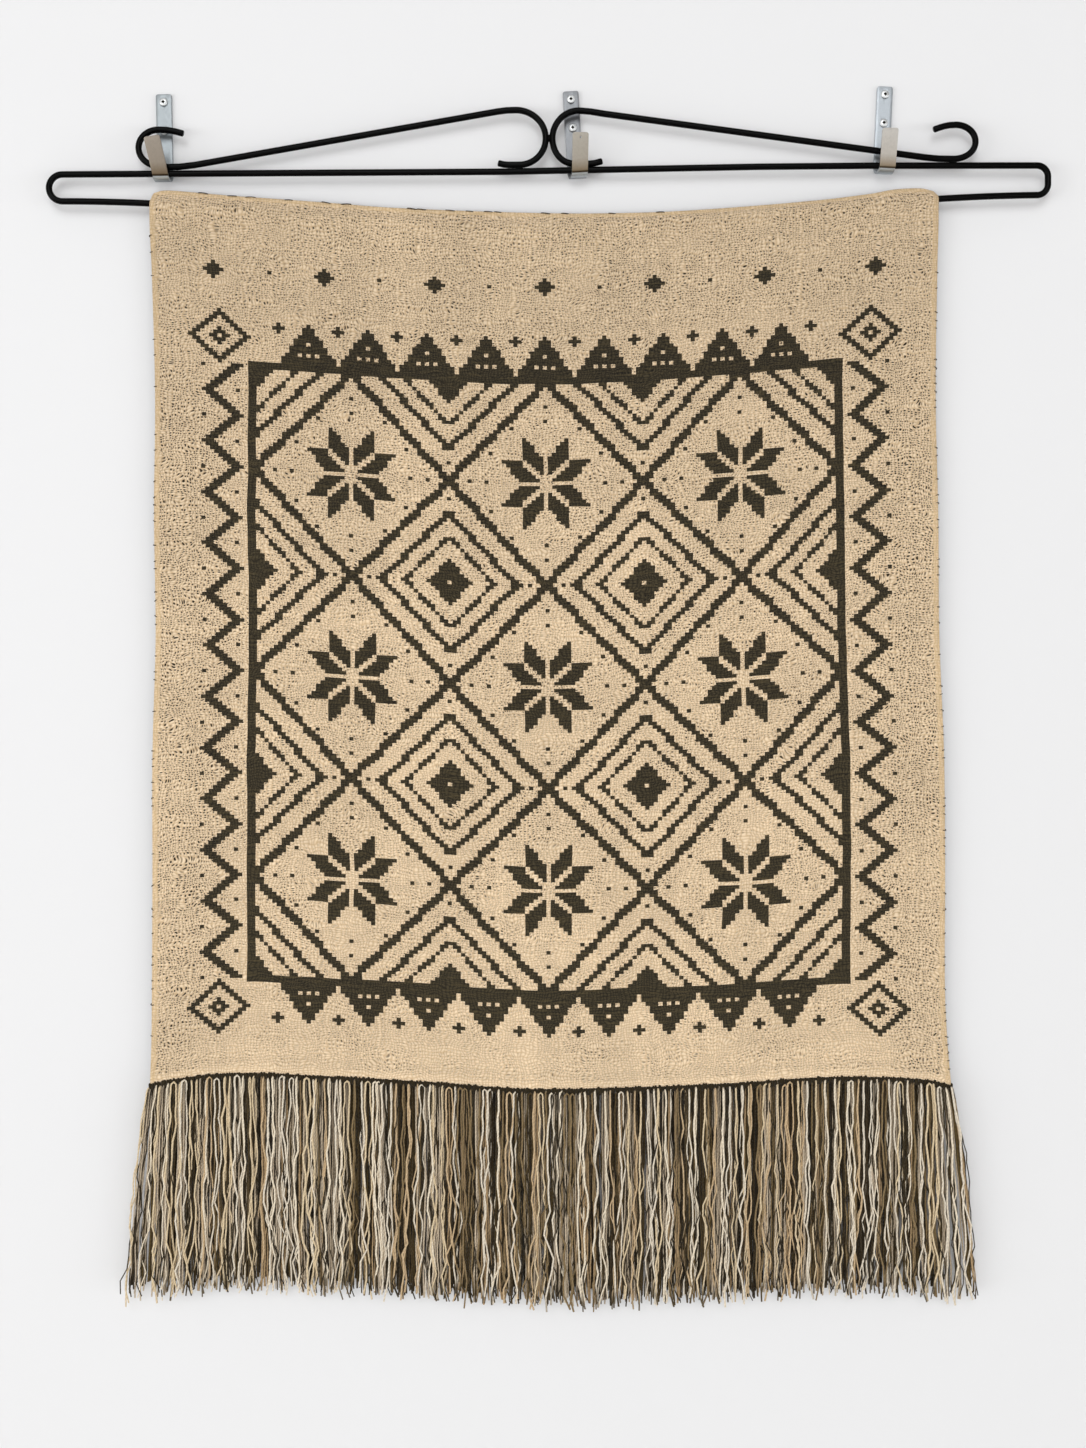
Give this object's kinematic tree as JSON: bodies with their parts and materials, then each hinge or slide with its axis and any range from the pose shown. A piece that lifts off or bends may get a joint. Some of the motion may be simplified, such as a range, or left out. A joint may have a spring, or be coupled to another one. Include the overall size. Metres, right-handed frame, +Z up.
{
  "type": "woven wool wall hanging with wire hanger and wall hooks",
  "caption": "Double-woven wool cloth with a knotted fringe, hung by the pocket at its top on a scrolled black wire hanger that lies in wall hooks.",
  "frame": {"origin": "on the back of the middle hook's plate, midway between its two screws, in the plane of the wall", "axes": "+Y into the wall, +X to the right as the hanging is looked at, +Z up along the hanging"},
  "size_m": [0.9538, 0.0303, 1.1631],
  "materials": {
    "wool_cloth": "matt plain-woven wool, undyed and dark brown",
    "wool_yarn": "matt wool yarn ends, cream, khaki, grey and dark brown",
    "black_rod": "satin black paint",
    "zinc_strip": "dull zinc plate",
    "zinc_screw": "dull zinc plate"
  },
  "bodies": {
    "root": {"cloth": "wool_cloth", "fringe": "wool_yarn", "hanger_loop": "black_rod", "scroll_left": "black_rod", "scroll_right": "black_rod", "hook_left": "zinc_strip", "hook_middle": "zinc_strip", "hook_right": "zinc_strip", "screw_left_upper": "zinc_screw", "screw_left_lower": "zinc_screw", "screw_middle_upper": "zinc_screw", "screw_middle_lower": "zinc_screw", "screw_right_upper": "zinc_screw", "screw_right_lower": "zinc_screw"}
  },
  "joints": []
}
